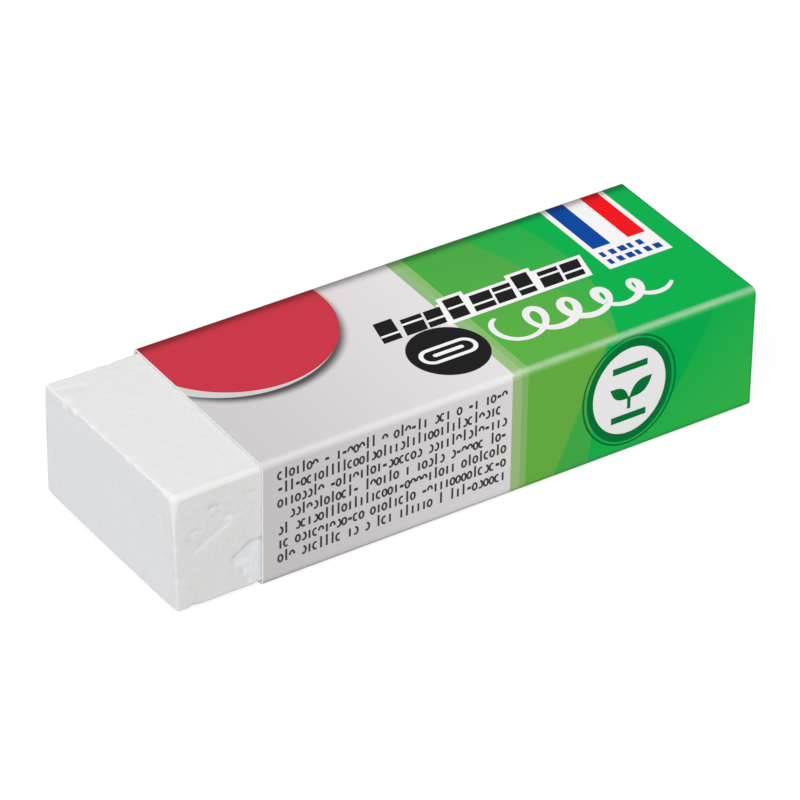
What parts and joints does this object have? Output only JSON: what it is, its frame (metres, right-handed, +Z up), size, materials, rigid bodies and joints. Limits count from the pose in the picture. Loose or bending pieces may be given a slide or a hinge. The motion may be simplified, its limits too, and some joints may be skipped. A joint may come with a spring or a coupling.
{
  "type": "vinyl eraser",
  "caption": "White block of soft vinyl for rubbing out pencil, in a printed folded-card sleeve that slides along it and leaves one end bare.",
  "frame": {"origin": "centre of the bounding box in plan, at the underside of the sleeve", "axes": "+X along the block from its bare end towards the end flush with the sleeve, +Z up from the face it rests on, -Y the side panel with the small print and badge"},
  "size_m": [0.065, 0.023, 0.0135],
  "materials": {
    "soft_vinyl": "matt",
    "coated_card": "semi-gloss varnish over print"
  },
  "bodies": {
    "block": {"eraser_block": "soft_vinyl"},
    "sleeve": {"card_sleeve": "coated_card"}
  },
  "joints": [
    {"name": "sleeve_slide", "type": "slide", "parent": "block", "child": "sleeve", "axis": [1, 0, 0], "range_m": [-0.0096, 0.056]}
  ]
}
